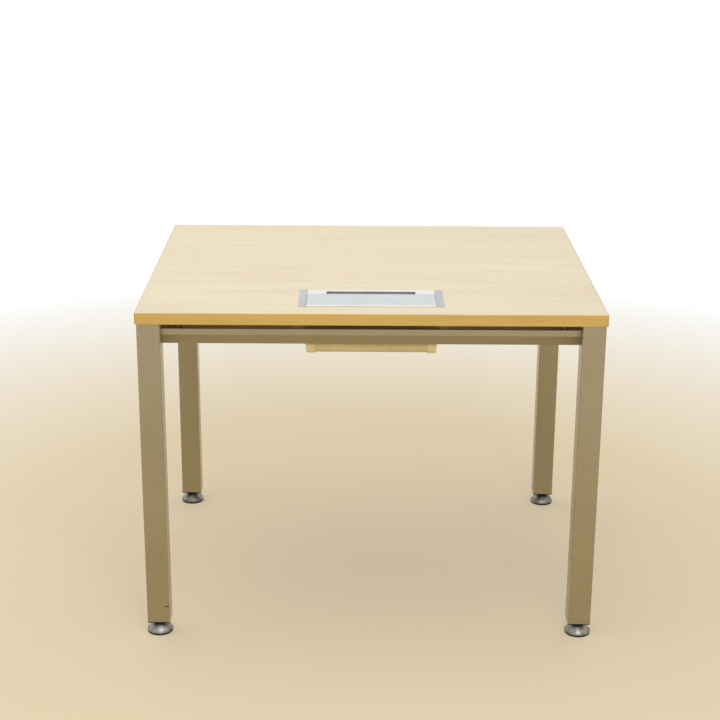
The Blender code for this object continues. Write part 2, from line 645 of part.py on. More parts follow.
def build_tray():
    """A folded trough in two moulded end caps, whose flanges are screwed under the board."""
    cream = finish("tray_paint", (0.78, 0.74, 0.64), 0.5)
    ivory = finish("tray_cap_plastic", (0.82, 0.78, 0.68), 0.5)
    zinc = finish("screw_zinc", (0.55, 0.54, 0.52), 0.35, 1.0)

    half = TRAY_W / 2 - TRAY_CAP_END - GAP
    path = [(TRAY_Y1, UNDER - TRAY_REAR_GAP), (TRAY_Y1, TRAY_Z0), (TRAY_Y0, TRAY_Z0),
            (TRAY_Y0, TRAY_TOP)]
    trough = rounded(folded_sheet(path[::-1], TRAY_T, TRAY_BEND), BEND_STEPS)
    part("cable_tray", prism("cable_tray", [trough], -half, half, ALONG_X), cream)

    pocket = rounded([(TRAY_Y0 - GAP, TRAY_TOP + CUT, 0.0), (TRAY_Y0 - GAP, TRAY_Z0 - GAP, TRAY_BEND),
                      (TRAY_Y1 + GAP, TRAY_Z0 - GAP, TRAY_BEND), (TRAY_Y1 + GAP, TRAY_TOP + CUT, 0.0)],
                     BEND_STEPS)
    cap_bend = TRAY_BEND + TRAY_CAP_WALL + GAP
    section = rounded([(TRAY_CAP_Y0, TRAY_TOP, 0.0), (TRAY_CAP_Y0, TRAY_BOTTOM, cap_bend),
                       (HATCH_Y1, TRAY_BOTTOM, cap_bend), (HATCH_Y1, TRAY_TOP, 0.0)], BEND_STEPS)
    inner_x = TRAY_W / 2 - TRAY_CAP_W
    foot_x = TRAY_W / 2 - CUT * math.tan(TRAY_CAP_DRAFT)
    screw = turned("tray_screw", [
        (0.0, SCREW_GRIP + FLANGE_T + GAP), (SCREW_R, SCREW_GRIP + FLANGE_T + GAP - SCREW_R),
        (SCREW_R, 0.0), (SCREW_HEAD_R, 0.0), (SCREW_HEAD_R, -SCREW_HEAD_H / 2),
        (SCREW_HEAD_R - SCREW_HEAD_H / 2, -SCREW_HEAD_H), (0.0, -SCREW_HEAD_H)], BOLT_SIDES)
    seat = TRAY_TOP - FLANGE_T - GAP
    for side, sx in SIDES.items():
        ends = sorted((sx * (inner_x - CUT), sx * (FLANGE_X + CUT)))
        cap = part(f"tray_cap_{side}",
                   prism(f"tray_cap_{side}", [section], ends[0], ends[1], ALONG_X), ivory)
        shape = [(inner_x, TRAY_BOTTOM - CUT, 0.0), (foot_x, TRAY_BOTTOM - CUT, 0.0),
                 (TRAY_CAP_TOP_X, TRAY_TOP - FLANGE_T, TRAY_CAP_R),
                 (FLANGE_X, TRAY_TOP - FLANGE_T, 0.0), (FLANGE_X, TRAY_TOP + CUT, 0.0),
                 (inner_x, TRAY_TOP + CUT, 0.0)]
        outline = [(sx * point.x, point.y) for point in rounded(shape)]
        apply_tool(cap, f"cap_draft_{side}",
                   prism("cap_draft", [outline], -HATCH_Y1 - CUT, -TRAY_CAP_Y0 + CUT, ALONG_Y),
                   "INTERSECT")
        ends = sorted((sx * (inner_x - CUT), sx * (TRAY_W / 2 - TRAY_CAP_END)))
        apply_tool(cap, f"cap_pocket_{side}", prism("cap_pocket", [pocket], ends[0], ends[1], ALONG_X),
                   "DIFFERENCE")
        bm = bmesh.new()
        for end, y in zip(("front", "rear"), SCREW_YS):
            add_rod(bm, (sx * SCREW_X, y, TRAY_TOP + CUT),
                    (sx * SCREW_X, y, TRAY_TOP - FLANGE_T - CUT), SCREW_R + HOLE_GAP)
            part(f"tray_screw_{end}_{side}", screw, zinc, (sx * SCREW_X, y, seat))
        apply_tool(cap, f"flange_holes_{side}", mesh_of("flange_holes", bm), "DIFFERENCE")


def build_feet():
    """Screw feet: a turned bell with a spanner hex and a threaded stem, on a glide pad."""
    nickel = finish("foot_nickel", (0.52, 0.51, 0.52), 0.3, 1.0)
    rubber = finish("pad_plastic", (0.03, 0.03, 0.03), 0.6)
    seat = PAD_T + GAP
    rim_top = seat + RIM_H
    neck = FOOT_H - GAP - HEX_H
    tip = FOOT_H + STEM_ENGAGE
    socket_r = PAD_BOSS_R + GAP
    socket_top = PAD_T + PAD_BOSS_H + GAP

    profile = [(0.0, tip), (STEM_R - STEM_TIP, tip), (STEM_R, tip - STEM_TIP), (STEM_R, neck)]
    shoulder = RIM_R - RIM_ROUND
    for step in range(BELL_STEPS + 1):
        angle = math.pi / 2 * (1.0 - step / BELL_STEPS)
        profile.append((BELL_TOP_R + (shoulder - BELL_TOP_R) * math.cos(angle) ** BELL_POWER,
                        rim_top + (neck - rim_top) * math.sin(angle) ** BELL_POWER))
    profile += [(RIM_R, rim_top - RIM_ROUND), (RIM_R, seat), (socket_r, seat),
                (socket_r, socket_top), (0.0, socket_top)]
    bell = turned("foot", profile, FOOT_SIDES)

    hexagon = bmesh.new()
    hex_r = HEX_FLATS / 2 / math.cos(math.pi / 6)
    add_rod(hexagon, (0, 0, neck - TUCK), (0, 0, neck + HEX_H), hex_r, 6)
    spanner = bpy.data.objects.new("spanner_hex", mesh_of("spanner_hex", hexagon))
    bpy.context.scene.collection.objects.link(spanner)

    def weld_hex(holder):
        modifier = holder.modifiers.new("hex", "BOOLEAN")
        modifier.operation = "UNION"
        modifier.solver = "EXACT"
        modifier.object = spanner

    foot = settled("foot", bell, weld_hex)
    bpy.data.objects.remove(spanner, do_unlink=True)

    pad = turned("glide_pad", [
        (0.0, PAD_T + PAD_BOSS_H), (PAD_BOSS_R, PAD_T + PAD_BOSS_H), (PAD_BOSS_R, PAD_T),
        (PAD_R, PAD_T), (PAD_R, PAD_EDGE), (PAD_R - PAD_EDGE, 0.0), (0.0, 0.0)], FOOT_SIDES)
    for corner, (sx, sy) in CORNERS.items():
        place = (sx * LEG_X, sy * LEG_Y, 0.0)
        part(f"foot_{corner}", foot, nickel, place)
        part(f"glide_pad_{corner}", pad, rubber, place)


build_top()
build_legs()
build_beams()
build_top_fixings()
build_hatch()
build_tray()
build_feet()
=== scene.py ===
"""How an office desk looks: its pieces and their finishes, in the order in which it is put together."""
import math

import bmesh
import bpy
from mathutils import Color, Matrix, Vector


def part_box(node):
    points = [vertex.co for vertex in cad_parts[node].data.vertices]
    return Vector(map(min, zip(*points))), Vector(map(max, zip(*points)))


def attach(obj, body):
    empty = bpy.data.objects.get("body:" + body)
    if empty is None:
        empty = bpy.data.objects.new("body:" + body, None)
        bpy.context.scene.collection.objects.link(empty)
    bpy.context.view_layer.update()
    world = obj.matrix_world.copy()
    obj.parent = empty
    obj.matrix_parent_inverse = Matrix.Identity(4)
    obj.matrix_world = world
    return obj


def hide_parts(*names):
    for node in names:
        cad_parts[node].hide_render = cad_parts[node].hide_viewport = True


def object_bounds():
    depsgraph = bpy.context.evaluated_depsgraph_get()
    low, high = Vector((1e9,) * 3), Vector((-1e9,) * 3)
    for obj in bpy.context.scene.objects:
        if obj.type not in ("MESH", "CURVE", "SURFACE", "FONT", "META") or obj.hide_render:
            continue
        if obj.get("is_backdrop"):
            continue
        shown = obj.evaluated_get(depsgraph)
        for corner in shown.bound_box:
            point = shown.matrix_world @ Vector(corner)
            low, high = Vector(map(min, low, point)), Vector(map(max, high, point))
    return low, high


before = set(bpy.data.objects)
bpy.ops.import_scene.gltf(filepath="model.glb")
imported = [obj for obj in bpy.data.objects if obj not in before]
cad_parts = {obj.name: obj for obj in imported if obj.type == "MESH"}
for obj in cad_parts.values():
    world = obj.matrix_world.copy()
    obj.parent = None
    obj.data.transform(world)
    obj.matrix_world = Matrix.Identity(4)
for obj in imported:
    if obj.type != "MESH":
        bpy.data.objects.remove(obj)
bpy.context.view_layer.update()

# Legs
# Square steel tubes with a 2 mm wall and rounded corners, sawn to length and powder coated in a
# champagne metallic. Knocks have rubbed the paint near the floor, and one leg has a deep scrape.

CORNERS = ("front_left", "front_right", "rear_left", "rear_right")
X, Y, Z = range(3)
LEG_WALL = 0.002
LEG_CORNER = 0.0025
CHAMPAGNE = (170, 155, 120)
CHAMPAGNE_SHADE = (160, 144, 108)
FLAKE_BRIGHT = (222, 214, 190)
FLAKE_DARK = (112, 98, 66)
SCUFF_PALE = (206, 199, 180)
SCUFF_TOP = 0.220
SCUFF_FULL = 0.030
RUBBED_METAL = (214, 208, 192)
SCRAPE_DARK = (48, 41, 29)
SCRAPE_START = -0.4625
SCRAPE_WIDEST = -0.4530
SCRAPE_END = -0.4400
SCRAPE_BACK = -0.3900
SCRAPE_HEIGHT = 0.0710
SCRAPE_HALF = 0.0018
SCRAPE_SOFT = 0.0003
PEEL_SHARE = 0.35
NOISE_SPAN = (0.3, 0.7)
MIX_SHARE, MIX_FIRST, MIX_SECOND, MIX_RESULT = 0, 6, 7, 2
SMOOTH_ANGLE = math.radians(34.0)
PARALLEL = 0.99
WELD = 1e-6

leg_low, leg_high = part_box("leg_rear_right")
leg_half = (leg_high.x - leg_low.x) / 2
leg_axis = (leg_low + leg_high) / 2


def tone(shown):
    """A colour as it shows on a screen, its parts from 0 to 255, in the values that a shader takes."""
    linear = Color([part / 255 for part in shown]).from_srgb_to_scene_linear()
    return (*linear, 1.0)


class Nodes:
    """A node tree under way."""

    def __init__(self, tree):
        self.tree = tree

    def feed(self, socket, value):
        """A link from another socket, a colour as it shows on a screen, or a plain value."""
        if isinstance(value, bpy.types.NodeSocket):
            self.tree.links.new(value, socket)
        elif socket.type == "RGBA":
            socket.default_value = tone(value)
        else:
            socket.default_value = value

    def add(self, kind, inputs=None, **settings):
        """A new node with its settings, and values or links for its inputs."""
        node = self.tree.nodes.new(kind)
        for key, value in settings.items():
            setattr(node, key, value)
        for socket, value in (inputs or {}).items():
            self.feed(node.inputs[socket], value)
        return node

    def math(self, operation, first, second=0.0):
        """One sum on two values."""
        return self.add("ShaderNodeMath", {0: first, 1: second}, operation=operation).outputs["Value"]

    def hypot(self, first, second):
        """How far two distances at right angles reach together."""
        squares = [self.math("POWER", side, 2.0) for side in (first, second)]
        return self.math("SQRT", self.math("ADD", *squares))

    def ramp(self, value, span, to=(0.0, 1.0)):
        """A value's span mapped to another, and held at its ends."""
        inputs = {"Value": value, "From Min": span[0], "From Max": span[1], "To Min": to[0],
                  "To Max": to[1]}
        return self.add("ShaderNodeMapRange", inputs).outputs["Result"]

    def spread(self, pattern, low=0.0, high=1.0):
        """The span that a noise mostly keeps to, mapped to another."""
        return self.ramp(pattern, NOISE_SPAN, to=(low, high))

    def mix(self, share, first, second):
        """One colour over another by a share. A Mix node's colour sockets go by number."""
        inputs = {MIX_SHARE: share, MIX_FIRST: first, MIX_SECOND: second}
        return self.add("ShaderNodeMix", inputs, data_type="RGBA").outputs[MIX_RESULT]


class Finish(Nodes):
    """A material under way: a Principled shader and the nodes that feed it, on Object coordinates."""

    def __init__(self, name, **constants):
        self.material = bpy.data.materials.new(name)
        self.material.use_nodes = True
        super().__init__(self.material.node_tree)
        self.shader = self.tree.nodes["Principled BSDF"]
        self.place = self.add("ShaderNodeTexCoord").outputs["Object"]
        self.show(**constants)

    def show(self, **values):
        """Feed the shader."""
        for socket, value in values.items():
            self.feed(self.shader.inputs[socket.replace("_", " ")], value)
        return self.material

    def axes(self):
        """The three coordinates, each by itself."""
        return self.add("ShaderNodeSeparateXYZ", {"Vector": self.place}).outputs[:]

    def off_axis(self):
        """How far a point lies outside the axis of its leg, along X and along Y."""
        x, y, _ = self.axes()
        return [self.math("SUBTRACT", self.math("ABSOLUTE", value), axis)
                for value, axis in ((x, leg_axis.x), (y, leg_axis.y))]

    def noise(self, scale, detail=2.0, roughness=0.5, distortion=0.0, vector=None):
        """A soft pattern from 0 to 1. With a scale for each axis it is drawn out along a piece."""
        if vector is None:
            vector = self.place
        if isinstance(scale, tuple):
            vector = self.add("ShaderNodeMapping", {"Vector": vector, "Scale": scale}).outputs["Vector"]
            scale = 1.0
        inputs = {"Vector": vector, "Scale": scale, "Detail": detail, "Roughness": roughness,
                  "Distortion": distortion}
        return self.add("ShaderNodeTexNoise", inputs).outputs["Fac"]

    def grains(self, scale):
        """Small cells, each with its own value from 0 to 1."""
        cells = self.add("ShaderNodeTexVoronoi", {"Vector": self.place, "Scale": scale})
        return self.add("ShaderNodeSeparateColor", {"Color": cells.outputs["Color"]}).outputs["Red"]

    def bump(self, height, depth, strength=1.0):
        """A relief as deep as a distance."""
        inputs = {"Height": height, "Distance": depth, "Strength": strength}
        return self.add("ShaderNodeBump", inputs).outputs["Normal"]


def champagne_paint():
    """A metallic powder coat: fine flakes, a soft orange peel, scuffs low down and one scrape."""
    paint = Finish("champagne_paint", Metallic=0.7, Specular_IOR_Level=0.45, Coat_Weight=0.5,
                   Coat_Roughness=0.22)
    x, y, z = paint.axes()
    colour = paint.mix(paint.noise(scale=8.0, detail=3.0), CHAMPAGNE, CHAMPAGNE_SHADE)
    flakes = paint.grains(scale=2600.0)
    colour = paint.mix(paint.ramp(flakes, span=(0.55, 1.0), to=(0.0, 0.26)), colour, FLAKE_BRIGHT)
    colour = paint.mix(paint.ramp(flakes, span=(0.45, 0.0), to=(0.0, 0.22)), colour, FLAKE_DARK)

    low_down = paint.ramp(z, (SCUFF_TOP, SCUFF_FULL))
    scuffs = paint.noise(scale=(14.0, 14.0, 190.0), detail=4.0, roughness=0.65)
    scuffs = paint.math("MULTIPLY", paint.ramp(scuffs, span=(0.60, 0.72), to=(0.0, 0.30)), low_down)
    colour = paint.mix(scuffs, colour, SCUFF_PALE)
    out_x, out_y = [paint.math("ABSOLUTE", out) for out in paint.off_axis()]
    corner = paint.ramp(paint.math("MINIMUM", out_x, out_y), (leg_half - LEG_CORNER, leg_half))
    rubbed = paint.noise(scale=(60.0, 60.0, 22.0), detail=4.0, roughness=0.65)
    rubbed = paint.math("MULTIPLY", paint.ramp(rubbed, span=(0.45, 0.62), to=(0.0, 0.7)), corner)
    colour = paint.mix(paint.math("MULTIPLY", rubbed, low_down), colour, RUBBED_METAL)

    widening = paint.ramp(x, (SCRAPE_START, SCRAPE_WIDEST))
    ragged = paint.spread(paint.noise(scale=700.0, detail=3.0), 0.55, 1.0)
    half = paint.math("MULTIPLY", paint.math("MULTIPLY", widening, ragged), SCRAPE_HALF)
    away = paint.math("ABSOLUTE", paint.math("SUBTRACT", z, SCRAPE_HEIGHT))
    scrape = paint.ramp(paint.math("SUBTRACT", half, away), span=(0.0, SCRAPE_SOFT))
    on_leg = paint.math("MULTIPLY", paint.math("LESS_THAN", x, SCRAPE_END),
                        paint.math("LESS_THAN", y, SCRAPE_BACK))
    scrape = paint.math("MULTIPLY", scrape, on_leg)
    colour = paint.mix(scrape, colour, SCRAPE_DARK)

    peel = paint.math("MULTIPLY", paint.noise(scale=420.0), PEEL_SHARE)
    relief = paint.bump(paint.math("SUBTRACT", peel, scrape), depth=0.00025, strength=0.6)
    gloss = paint.spread(paint.noise(scale=26.0, detail=4.0), 0.36, 0.48)
    return paint.show(Base_Color=colour, Roughness=paint.math("ADD", gloss, scuffs), Normal=relief)


def block(bm, low, high):
    """Add a box between two corners."""
    size = high - low
    verts = bmesh.ops.create_cube(bm, size=1.0)["verts"]
    bmesh.ops.scale(bm, vec=size, verts=verts)
    bmesh.ops.translate(bm, vec=low + size / 2, verts=verts)


def soften(bm, edges, radius, segments=2):
    """Round some edges."""
    bmesh.ops.bevel(bm, geom=list(edges), offset=radius, segments=segments, profile=0.5,
                    affect="EDGES", material=-1)


def runs_along(edge, axis):
    """Whether an edge is parallel to an axis."""
    run = edge.verts[1].co - edge.verts[0].co
    return abs(run[axis]) > PARALLEL * run.length


def settle(name, bm, material, body, slot, *nodes):
    """Make a piece of a bmesh: it moves with a body, has a material's finish and stands for nodes. The
    slot is not used.
    """
    bmesh.ops.remove_doubles(bm, verts=bm.verts, dist=WELD)
    bmesh.ops.recalc_face_normals(bm, faces=bm.faces)
    mesh = bpy.data.meshes.new(name)
    bm.to_mesh(mesh)
    bm.free()
    mesh.materials.append(material)
    mesh.shade_smooth()
    mesh.set_sharp_from_angle(angle=SMOOTH_ANGLE)
    piece = bpy.data.objects.new(name, mesh)
    bpy.context.scene.collection.objects.link(piece)
    flats = piece.modifiers.new("flat_faces", "WEIGHTED_NORMAL")
    flats.keep_sharp = True
    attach(piece, body)
    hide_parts(*nodes)


frame_paint = champagne_paint()
for corner in CORNERS:
    low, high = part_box(f"leg_{corner}")
    bm = bmesh.new()
    block(bm, low, high)
    soften(bm, [edge for edge in bm.edges if runs_along(edge, Z)], LEG_CORNER, segments=8)
    bm.normal_update()
    ends = [face for face in bm.faces if abs(face.normal.z) > PARALLEL]
    bmesh.ops.delete(bm, geom=ends, context="FACES_ONLY")
    bmesh.ops.recalc_face_normals(bm, faces=bm.faces)
    bmesh.ops.solidify(bm, geom=bm.faces[:], thickness=LEG_WALL)
    settle(f"tube_{corner}", bm, frame_paint, "frame", "frame_paint", f"leg_{corner}")

# Leg plugs
# Black nylon plugs pressed into the tubes' lower ends, with a flange as wide as the tube that shows
# as a dark line, and a threaded bore for the foot.

PLUG_EDGE = 0.0003
NYLON_BLACK = (34, 33, 32)
NYLON_GREY = (48, 46, 44)
SHARP_TURN = math.radians(50.0)
FLAT_TURN = math.radians(1.0)


def softened(node, radius):
    """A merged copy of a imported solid, with its sharp outer edges rounded a little."""
    bm = bmesh.new()
    bm.from_mesh(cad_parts[node].data)
    bmesh.ops.remove_doubles(bm, verts=bm.verts, dist=WELD)
    bmesh.ops.recalc_face_normals(bm, faces=bm.faces)
    bmesh.ops.dissolve_limit(bm, angle_limit=FLAT_TURN, verts=bm.verts, edges=bm.edges)
    soften(bm, [edge for edge in bm.edges if edge.calc_face_angle_signed(0.0) > SHARP_TURN], radius)
    return bm


def black_nylon():
    """Moulded nylon with the fine spark-eroded grain of its mould."""
    nylon = Finish("black_nylon", Specular_IOR_Level=0.4)
    patches = nylon.noise(scale=60.0, detail=3.0)
    grain = nylon.noise(scale=2600.0)
    return nylon.show(Base_Color=nylon.mix(patches, NYLON_BLACK, NYLON_GREY),
                      Roughness=nylon.spread(patches, 0.45, 0.62),
                      Normal=nylon.bump(grain, depth=0.00008))


plug_nylon = black_nylon()
for corner in CORNERS:
    settle(f"plug_{corner}", softened(f"leg_plug_{corner}", PLUG_EDGE), plug_nylon, "frame",
           "plug_plastic", f"leg_plug_{corner}")

# Nut blocks
# Steel blocks tapped for the beam bolts, pressed into the tubes' heads and left as sawn. They only
# show when a leg is taken off.

STEEL_BRIGHT = (150, 150, 152)
STEEL_OILED = (118, 114, 110)


def sawn_steel():
    """Bare mild steel with saw lines and a film of oil."""
    steel = Finish("sawn_steel", Metallic=1.0)
    lines = steel.noise(scale=(40.0, 40.0, 3000.0))
    film = steel.noise(scale=90.0, detail=3.0)
    return steel.show(Base_Color=steel.mix(film, STEEL_BRIGHT, STEEL_OILED),
                      Roughness=steel.spread(film, 0.34, 0.5), Normal=steel.bump(lines, depth=0.00008))


def dress(node, material):
    """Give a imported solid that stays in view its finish."""
    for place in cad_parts[node].material_slots:
        place.material = material


block_steel = sawn_steel()
for corner in CORNERS:
    dress(f"nut_block_{corner}", block_steel)

# Glide pads
# Discs of hard black rubber that the feet turn on. A boss on each clips into the foot, and a groove
# underneath keeps it from sticking to the floor.

PAD_ROUND = 0.0008
PAD_TOP = 0.004
GROOVE_INNER = 0.0170
GROOVE_MIDDLE = 0.0185
GROOVE_OUTER = 0.0200
GROOVE_DEPTH = 0.0008
BOSS_R = 0.0065
BOSS_EDGE = 0.0006
RUBBER_BLACK = (24, 23, 23)
RUBBER_DUST = (70, 66, 60)
TURN_STEPS = 72


def arc(centre, radius, start, end, steps):
    """Points on an arc in (radius, height), between two angles in degrees."""
    points = []
    for step in range(steps + 1):
        angle = math.radians(start + (end - start) * step / steps)
        points.append((centre[0] + radius * math.cos(angle), centre[1] + radius * math.sin(angle)))
    return points


def turned(bm, profile, steps=TURN_STEPS):
    """Spin a profile of (radius, height) full circle about the upright axis."""
    verts = [bm.verts.new((radius, 0.0, height)) for radius, height in profile]
    edges = [bm.edges.new(pair) for pair in zip(verts, verts[1:])]
    bmesh.ops.spin(bm, geom=verts + edges, cent=(0, 0, 0), axis=(0, 0, 1), angle=2 * math.pi,
                   steps=steps, use_merge=True)


def pad_rubber():
    """Moulded rubber with dust in its grain."""
    rubber = Finish("pad_rubber", Specular_IOR_Level=0.35)
    dust = rubber.noise(scale=240.0, detail=4.0, roughness=0.6)
    colour = rubber.mix(rubber.ramp(dust, span=(0.45, 0.75), to=(0.0, 0.5)), RUBBER_BLACK, RUBBER_DUST)
    return rubber.show(Base_Color=colour, Roughness=rubber.spread(dust, 0.55, 0.8),
                       Normal=rubber.bump(dust, depth=0.00012))


glide_rubber = pad_rubber()
for corner in CORNERS:
    low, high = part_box(f"glide_pad_{corner}")
    centre = (low + high) / 2
    shoulder = (high.x - low.x) / 2 - PAD_ROUND
    profile = [(0.0, high.z)]
    profile += arc((BOSS_R - BOSS_EDGE, high.z - BOSS_EDGE), BOSS_EDGE, start=90, end=0, steps=4)
    profile += [(BOSS_R, PAD_TOP)]
    profile += arc((shoulder, PAD_TOP - PAD_ROUND), PAD_ROUND, start=90, end=0, steps=5)
    profile += arc((shoulder, PAD_ROUND), PAD_ROUND, start=0, end=-90, steps=5)
    profile += [(GROOVE_OUTER, 0.0), (GROOVE_MIDDLE, GROOVE_DEPTH), (GROOVE_INNER, 0.0), (0.0, 0.0)]
    bm = bmesh.new()
    turned(bm, profile)
    bmesh.ops.translate(bm, vec=(centre.x, centre.y, 0.0), verts=bm.verts)
    settle(f"pad_disc_{corner}", bm, glide_rubber, f"pad_{corner}", "pad_rubber", f"glide_pad_{corner}")

# Screw feet
# Turned steel bells, satin nickel plated, each with a spanner hex and an M10 stem in one piece. The
# thread runs up through the plug into the leg, so turning the hex levels the desk.

RIM_TOP = 0.0073
RIM_ROUND = 0.0015
RIM_SEAT = 0.0043
SEAT_EDGE = 0.0004
BELL_TOP = 0.0237
BELL_TOP_R = 0.0140
BELL_TOP_ROUND = 0.0008
BELL_POWER = 1.7
BELL_STEPS = 20
SOCKET_R = 0.0068
SOCKET_TOP = 0.0103
HEX_SIDES = 6
HEX_FLATS = 0.0170
HEX_R = HEX_FLATS / 2 / math.cos(math.pi / HEX_SIDES)
HEX_TOP = 0.0297
HEX_EDGE = 0.0004
HEX_SUNK = 0.0010
STEM_CORE_R = 0.0042
STEM_CREST_R = 0.0050
THREAD_PITCH = 0.0015
THREAD_HALF = 0.42 * THREAD_PITCH
THREAD_SUNK = 0.0004
THREAD_ROOT_R = STEM_CORE_R - THREAD_SUNK
THREAD_END = 0.0010
THREAD_TURN_STEPS = 20
NICKEL_PALE = (158, 154, 147)
NICKEL_SMEARED = (107, 103, 96)


def satin_nickel():
    """Satin nickel plate over the fine rings that turning leaves round each foot's axis."""
    nickel = Finish("satin_nickel", Metallic=1.0)
    radius = nickel.hypot(*nickel.off_axis())
    ring = nickel.add("ShaderNodeCombineXYZ", {"X": radius, "Y": nickel.axes()[Z]}).outputs["Vector"]
    rings = nickel.noise(scale=3500.0, vector=ring)
    smears = nickel.noise(scale=70.0, detail=4.0, roughness=0.6)
    colour = nickel.mix(nickel.ramp(smears, span=(0.35, 0.65)), NICKEL_PALE, NICKEL_SMEARED)
    gloss = nickel.math("ADD", nickel.spread(smears, 0.28, 0.40), nickel.spread(rings, 0.0, 0.08))
    return nickel.show(Base_Color=colour, Roughness=gloss, Normal=nickel.bump(rings, depth=0.00004))


def add_thread(bm, bottom, top):
    """Wind a triangular ridge up the stem."""
    turns = (top - bottom) / THREAD_PITCH
    steps = round(turns * THREAD_TURN_STEPS)
    ridge = ((THREAD_ROOT_R, -THREAD_HALF), (STEM_CREST_R, 0.0), (THREAD_ROOT_R, THREAD_HALF))
    verts = [bm.verts.new((radius, 0.0, bottom + rise)) for radius, rise in ridge]
    start = [bm.edges.new(pair) for pair in zip(verts, verts[1:] + verts[:1])]
    wound = bmesh.ops.spin(bm, geom=verts + start, cent=(0, 0, 0), axis=(0, 0, 1), steps=steps,
                           angle=2 * math.pi * turns, dvec=(0, 0, (top - bottom) / steps))
    finish = [item for item in wound["geom_last"] if isinstance(item, bmesh.types.BMEdge)]
    for rim in (start, finish):
        bmesh.ops.edgeloop_fill(bm, edges=rim)


def foot_mesh(rim_r, tip):
    """A bell with a rolled rim and a socket below, a spanner hex, and a threaded stem."""
    shoulder = rim_r - RIM_ROUND
    profile = [(0.0, tip), (STEM_CORE_R - THREAD_END, tip), (STEM_CORE_R, tip - THREAD_END)]
    profile += [(STEM_CORE_R, BELL_TOP), (BELL_TOP_R - BELL_TOP_ROUND, BELL_TOP)]
    for step in range(1, BELL_STEPS + 1):
        angle = math.pi / 2 * (1.0 - step / BELL_STEPS)
        profile.append((BELL_TOP_R + (shoulder - BELL_TOP_R) * math.cos(angle) ** BELL_POWER,
                        RIM_TOP + (BELL_TOP - RIM_TOP) * math.sin(angle) ** BELL_POWER))
    profile += arc((shoulder, RIM_TOP - RIM_ROUND), RIM_ROUND, start=60, end=0, steps=5)
    profile += arc((rim_r - SEAT_EDGE, RIM_SEAT + SEAT_EDGE), SEAT_EDGE, start=0, end=-90, steps=4)
    profile += [(SOCKET_R, RIM_SEAT), (SOCKET_R, SOCKET_TOP), (0.0, SOCKET_TOP)]
    bm = bmesh.new()
    turned(bm, profile)
    bmesh.ops.remove_doubles(bm, verts=bm.verts, dist=WELD)
    hex_foot = BELL_TOP - HEX_SUNK
    hexagon = bmesh.ops.create_cone(
        bm, cap_ends=True, segments=HEX_SIDES, radius1=HEX_R, radius2=HEX_R, depth=HEX_TOP - hex_foot,
        matrix=Matrix.Translation((0, 0, (HEX_TOP + hex_foot) / 2)))["verts"]
    soften(bm, {edge for vert in hexagon for edge in vert.link_edges}, HEX_EDGE)
    add_thread(bm, HEX_TOP + THREAD_END, tip - THREAD_END - THREAD_PITCH / 2)
    return bm


foot_nickel = satin_nickel()
for corner in CORNERS:
    low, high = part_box(f"foot_{corner}")
    centre = (low + high) / 2
    bm = foot_mesh((high.x - low.x) / 2, high.z)
    bmesh.ops.translate(bm, vec=(centre.x, centre.y, 0.0), verts=bm.verts)
    settle(f"levelling_foot_{corner}", bm, foot_nickel, f"screw_{corner}", "foot_nickel",
           f"foot_{corner}")

# Beams
# Channels folded from 2 mm steel sheet: a level top, a narrow upright face, a long slope back to a
# lip. An end plate is welded into each end, and the whole is coated like the legs.

BEAM_FACE = 0.0145
BEAM_FLAT = 0.005
BEAM_LIP = 0.008
BEAM_SHEET = 0.002
BEAM_FOLD = 0.003
END_PLATE = 0.003
PLATE_EDGE = 0.0004
LONG_TOP_REACH = 0.003
BEAM_SIDES = {
    "front": (0.0, LONG_TOP_REACH),
    "rear": (math.pi, LONG_TOP_REACH),
    "left": (-math.pi / 2, 0.0),
    "right": (math.pi / 2, 0.0),
}


def add_end_plate(bm, outline, outer, thickness):
    """Fill a channel's end with a plate that stops short of the sheet's outer faces."""
    plate = bm.faces.new([bm.verts.new((outer, y, z)) for y, z in outline])
    plate.normal_update()
    edge_ring = bmesh.ops.inset_region(bm, faces=[plate], thickness=BEAM_SHEET / 2, use_boundary=True,
                                       use_even_offset=True)["faces"]
    bmesh.ops.delete(bm, geom=edge_ring, context="FACES")
    grown = bmesh.ops.extrude_face_region(bm, geom=[plate])["geom"]
    inner = [item for item in grown if isinstance(item, bmesh.types.BMVert)]
    bmesh.ops.translate(bm, vec=(thickness, 0, 0), verts=inner)


def folded_channel(half, depth, height, reach):
    """A sheet drawn along X from its outer fold line, each fold rounded, then given its thickness."""
    top_back = (depth + reach, 0.0)
    folds = [(0.0, 0.0), (0.0, -BEAM_FACE), (depth - BEAM_FLAT, -height), (depth, -height)]
    lip_end = (depth, BEAM_LIP - height)
    bm = bmesh.new()
    verts = [bm.verts.new((-half, y, z)) for y, z in (top_back, *folds, lip_end)]
    edges = [bm.edges.new(pair) for pair in zip(verts, verts[1:])]
    drawn = bmesh.ops.extrude_edge_only(bm, edges=edges)["geom"]
    far = [item for item in drawn if isinstance(item, bmesh.types.BMVert)]
    bmesh.ops.translate(bm, vec=(2 * half, 0, 0), verts=far)
    for y, z in folds:
        fold = [edge for edge in bm.edges if runs_along(edge, X)
                and abs(edge.verts[0].co.y - y) < WELD and abs(edge.verts[0].co.z - z) < WELD]
        setback = BEAM_FOLD * math.tan(fold[0].calc_face_angle() / 2)
        soften(bm, fold, setback, segments=6)
    bmesh.ops.recalc_face_normals(bm, faces=bm.faces)
    bmesh.ops.solidify(bm, geom=bm.faces[:], thickness=BEAM_SHEET)
    for end in (-1, 1):
        add_end_plate(bm, [(depth, 0.0), *folds], end * (half - PLATE_EDGE), -end * END_PLATE)
    return bm


